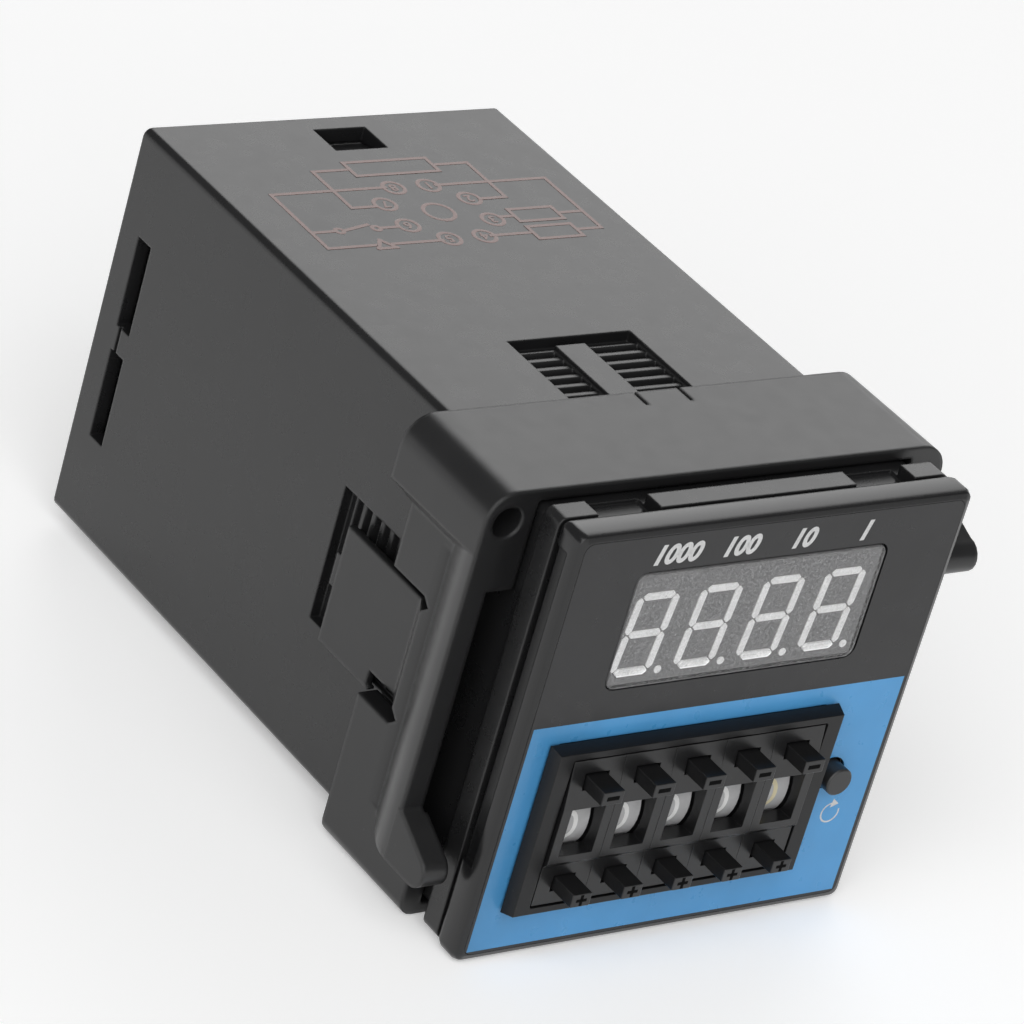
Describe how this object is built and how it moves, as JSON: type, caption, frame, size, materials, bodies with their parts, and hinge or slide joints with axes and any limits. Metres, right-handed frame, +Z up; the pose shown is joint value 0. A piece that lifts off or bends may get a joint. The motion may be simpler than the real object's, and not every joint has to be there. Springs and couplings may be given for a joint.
{
  "type": "digital counter relay",
  "caption": "Square panel-mounted counter relay with display, pushwheel setting switches, reset button, ratchet mounting adapter and round pin plug base.",
  "frame": {"origin": "on the axis of the square case, in the plane of the panel that the flange sits against", "axes": "+Y from the front to the rear of the case, +Z up, +X to the right as the front is seen"},
  "size_m": [0.0587, 0.1038, 0.048],
  "materials": {
    "black_case": "fine satin moulding",
    "black_adapter": "satin to gloss moulding",
    "black_gloss": "glossy moulding",
    "blue_film": "satin printed film, black above and blue below",
    "smoke_window": "smoked clear plastic",
    "grey_wheel": "matt",
    "grey_module": "matt",
    "brass_pin": "plated",
    "board": "solder mask",
    "steel_core": "varnished laminations",
    "relay_cover": "smooth",
    "sleeve": "printed sleeve"
  },
  "bodies": {
    "relay": {"case": "black_case", "rear_base": "black_case", "contact_pin_1": "brass_pin", "contact_pin_2": "brass_pin", "contact_pin_3": "brass_pin", "contact_pin_4": "brass_pin", "contact_pin_5": "brass_pin", "contact_pin_6": "brass_pin", "contact_pin_7": "brass_pin", "contact_pin_8": "brass_pin", "bezel": "black_gloss", "front_film": "blue_film", "display_window": "smoke_window", "display_module": "grey_module", "display_board": "board", "switch_frame": "black_gloss", "switch_cell_1": "black_gloss", "switch_cell_2": "black_gloss", "switch_cell_3": "black_gloss", "switch_cell_4": "black_gloss", "switch_cell_5": "black_gloss", "switch_board": "board", "main_board_left": "board", "main_board_right": "board", "transformer": "steel_core", "output_relay": "relay_cover", "capacitor": "sleeve"},
    "adapter": {"adapter": "black_adapter"},
    "reset_button": {"reset_button": "black_gloss"},
    "wheel_1": {"number_wheel_1": "grey_wheel"},
    "minus_1": {"minus_button_1": "black_gloss"},
    "plus_1": {"plus_button_1": "black_gloss"},
    "wheel_2": {"number_wheel_2": "grey_wheel"},
    "minus_2": {"minus_button_2": "black_gloss"},
    "plus_2": {"plus_button_2": "black_gloss"},
    "wheel_3": {"number_wheel_3": "grey_wheel"},
    "minus_3": {"minus_button_3": "black_gloss"},
    "plus_3": {"plus_button_3": "black_gloss"},
    "wheel_4": {"number_wheel_4": "grey_wheel"},
    "minus_4": {"minus_button_4": "black_gloss"},
    "plus_4": {"plus_button_4": "black_gloss"},
    "wheel_5": {"number_wheel_5": "grey_wheel"},
    "minus_5": {"minus_button_5": "black_gloss"},
    "plus_5": {"plus_button_5": "black_gloss"}
  },
  "joints": [
    {"name": "adapter_slide", "type": "slide", "parent": "relay", "child": "adapter", "axis": [0, 1, 0], "range_m": [-0.0017, 0.0035]},
    {"name": "wheel_1_turn", "type": "hinge", "parent": "relay", "child": "wheel_1", "pos_m": [-0.01505, -0.0021, -0.00868], "axis": [1, 0, 0], "continuous": true},
    {"name": "minus_1_press", "type": "slide", "parent": "relay", "child": "minus_1", "axis": [0, 1, 0], "range_m": [0, 0.002], "stiffness_N_per_m": 200, "springref_m": -0.001},
    {"name": "plus_1_press", "type": "slide", "parent": "relay", "child": "plus_1", "axis": [0, 1, 0], "range_m": [0, 0.002], "stiffness_N_per_m": 200, "springref_m": -0.001},
    {"name": "wheel_2_turn", "type": "hinge", "parent": "relay", "child": "wheel_2", "pos_m": [-0.0089, -0.0021, -0.00868], "axis": [1, 0, 0], "continuous": true},
    {"name": "minus_2_press", "type": "slide", "parent": "relay", "child": "minus_2", "axis": [0, 1, 0], "range_m": [0, 0.002], "stiffness_N_per_m": 200, "springref_m": -0.001},
    {"name": "plus_2_press", "type": "slide", "parent": "relay", "child": "plus_2", "axis": [0, 1, 0], "range_m": [0, 0.002], "stiffness_N_per_m": 200, "springref_m": -0.001},
    {"name": "wheel_3_turn", "type": "hinge", "parent": "relay", "child": "wheel_3", "pos_m": [-0.00275, -0.0021, -0.00868], "axis": [1, 0, 0], "continuous": true},
    {"name": "minus_3_press", "type": "slide", "parent": "relay", "child": "minus_3", "axis": [0, 1, 0], "range_m": [0, 0.002], "stiffness_N_per_m": 200, "springref_m": -0.001},
    {"name": "plus_3_press", "type": "slide", "parent": "relay", "child": "plus_3", "axis": [0, 1, 0], "range_m": [0, 0.002], "stiffness_N_per_m": 200, "springref_m": -0.001},
    {"name": "wheel_4_turn", "type": "hinge", "parent": "relay", "child": "wheel_4", "pos_m": [0.0034, -0.0021, -0.00868], "axis": [1, 0, 0], "continuous": true},
    {"name": "minus_4_press", "type": "slide", "parent": "relay", "child": "minus_4", "axis": [0, 1, 0], "range_m": [0, 0.002], "stiffness_N_per_m": 200, "springref_m": -0.001},
    {"name": "plus_4_press", "type": "slide", "parent": "relay", "child": "plus_4", "axis": [0, 1, 0], "range_m": [0, 0.002], "stiffness_N_per_m": 200, "springref_m": -0.001},
    {"name": "wheel_5_turn", "type": "hinge", "parent": "relay", "child": "wheel_5", "pos_m": [0.00955, -0.0021, -0.00868], "axis": [1, 0, 0], "continuous": true},
    {"name": "minus_5_press", "type": "slide", "parent": "relay", "child": "minus_5", "axis": [0, 1, 0], "range_m": [0, 0.002], "stiffness_N_per_m": 200, "springref_m": -0.001},
    {"name": "plus_5_press", "type": "slide", "parent": "relay", "child": "plus_5", "axis": [0, 1, 0], "range_m": [0, 0.002], "stiffness_N_per_m": 200, "springref_m": -0.001},
    {"name": "reset_press", "type": "slide", "parent": "relay", "child": "reset_button", "axis": [0, 1, 0], "range_m": [0, 0.001], "stiffness_N_per_m": 200, "springref_m": -0.001}
  ]
}
